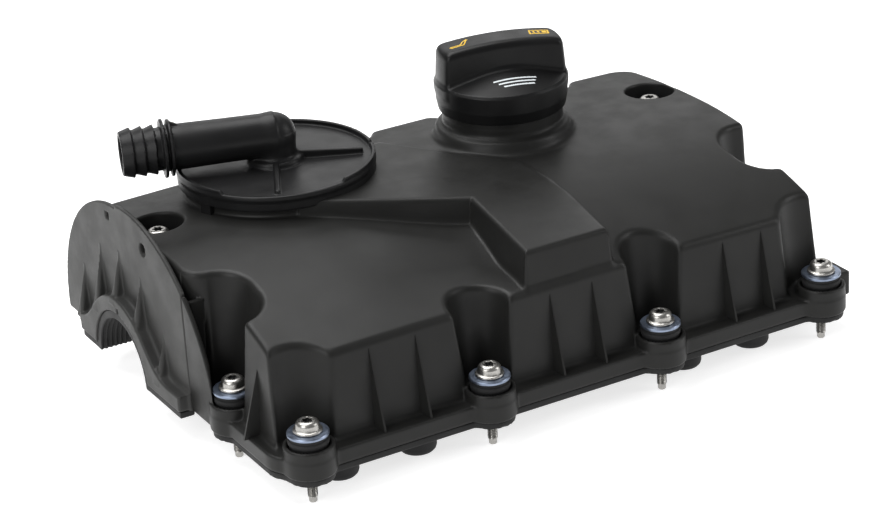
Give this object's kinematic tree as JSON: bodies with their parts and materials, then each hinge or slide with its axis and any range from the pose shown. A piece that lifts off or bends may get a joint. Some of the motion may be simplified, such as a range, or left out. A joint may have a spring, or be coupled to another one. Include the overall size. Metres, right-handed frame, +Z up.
{
  "type": "cylinder head cover",
  "caption": "Moulded cylinder head cover with crankcase pressure regulator, hose nozzle, oil filler cap, belt guard, gasket and captive bolts.",
  "frame": {"origin": "midway between the two inner bolts of the front row, in the plane where the gasket meets the cylinder head", "axes": "+X along the engine, away from the camshaft belt; +Y across the engine to the side of the regulator and filler; +Z up, away from the cylinder head"},
  "size_m": [0.4095, 0.3, 0.1725],
  "materials": {
    "cover_plastic": "moulded glass-filled nylon, charcoal, fine satin grain",
    "guard_plastic": "moulded nylon, charcoal, slightly lighter than the cover",
    "gasket_rubber": "moulded black rubber",
    "bolt_zinc": "bright zinc plated steel",
    "washer_zinc": "blue passivated zinc",
    "grommet_rubber": "moulded black rubber",
    "sleeve_steel": "turned steel",
    "cap_plastic": "moulded black nylon, satin",
    "plug_plastic": "moulded black nylon",
    "seal_rubber": "moulded black rubber",
    "inner_plastic": "moulded black nylon, unpolished",
    "regulator_plastic": "moulded black nylon, satin",
    "diaphragm_rubber": "thin moulded rubber",
    "plate_plastic": "natural white plastic",
    "spring_steel": "spring steel wire",
    "drain_rubber": "moulded black rubber"
  },
  "bodies": {
    "cover": {"cover_shell": "cover_plastic", "belt_guard_plate": "guard_plastic", "cover_gasket": "gasket_rubber", "cover_bolts": "bolt_zinc", "bolt_washers": "washer_zinc", "bolt_grommets": "grommet_rubber", "bolt_sleeves": "sleeve_steel", "filler_splash_plate": "inner_plastic", "regulator_cap": "regulator_plastic", "regulator_cup": "inner_plastic", "regulator_diaphragm": "diaphragm_rubber", "diaphragm_ring": "inner_plastic", "regulator_spring": "spring_steel", "separator_tray": "inner_plastic", "separator_baffles": "inner_plastic", "tray_screws": "bolt_zinc", "drain_cups": "drain_rubber"},
    "cap_seal": {"filler_cap_seal": "seal_rubber"},
    "filler_cap": {"filler_cap_shell": "cap_plastic", "filler_cap_plug": "plug_plastic"},
    "regulator_plate": {"diaphragm_plate": "plate_plastic"}
  },
  "joints": [
    {"name": "cap_lift", "type": "slide", "parent": "cover", "child": "cap_seal", "axis": [0, 0, 1], "range_m": [0, 0.012]},
    {"name": "cap_turn", "type": "hinge", "parent": "cap_seal", "child": "filler_cap", "pos_m": [0.062, 0.178, 0.121], "axis": [0, 0, 1], "range_deg": [0, 360]},
    {"name": "regulator_slide", "type": "slide", "parent": "cover", "child": "regulator_plate", "axis": [0, 0, 1], "range_m": [0, 0.004], "stiffness_N_per_m": 60, "springref_m": -0.02, "deforming": ["regulator_spring"]}
  ],
  "couplings": [
    {"joint": "cap_lift", "follows": "cap_turn", "m_per_rad": 0.0019099}
  ]
}
